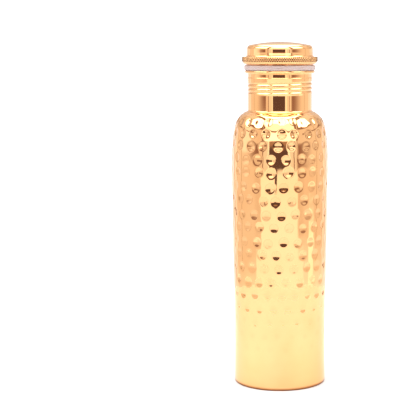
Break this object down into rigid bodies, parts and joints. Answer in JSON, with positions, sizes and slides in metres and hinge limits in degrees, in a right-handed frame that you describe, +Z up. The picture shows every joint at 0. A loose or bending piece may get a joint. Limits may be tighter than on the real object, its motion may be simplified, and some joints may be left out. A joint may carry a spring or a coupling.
{
  "type": "water bottle",
  "caption": "Hammered copper water bottle with a rounded shoulder, a rolled screw neck, a pale seal ring and a low domed cap with a knurled grip.",
  "frame": {"origin": "centre of the base, on the plane the bottle stands on", "axes": "+Z up the bottle's axis towards the cap; +X and +Y are any two directions at right angles, because the bottle is round"},
  "size_m": [0.074, 0.074, 0.2633],
  "materials": {
    "hammered_copper": "hammered and mirror polished copper",
    "polished_copper": "mirror polished copper",
    "plain_copper": "drawn copper, lightly polished",
    "knurled_copper": "diamond knurled and polished copper",
    "silicone": "pale translucent silicone, satin"
  },
  "bodies": {
    "bottle": {"body_shell": "hammered_copper", "base_plate": "plain_copper", "neck_collar": "polished_copper"},
    "seal": {"seal_ring": "silicone"},
    "lid": {"threaded_sleeve": "plain_copper", "sleeve_end_disc": "plain_copper", "grip_ring": "knurled_copper", "cap_shell": "polished_copper"}
  },
  "joints": [
    {"name": "lid_lift", "type": "slide", "parent": "bottle", "child": "seal", "axis": [0, 0, 1], "range_m": [0, 0.0218]},
    {"name": "lid_turn", "type": "hinge", "parent": "seal", "child": "lid", "pos_m": [0, 0, 0.2465], "axis": [0, 0, 1], "range_deg": [0, 2520]}
  ],
  "couplings": [
    {"joint": "lid_lift", "follows": "lid_turn", "m_per_rad": 0.00049338}
  ]
}
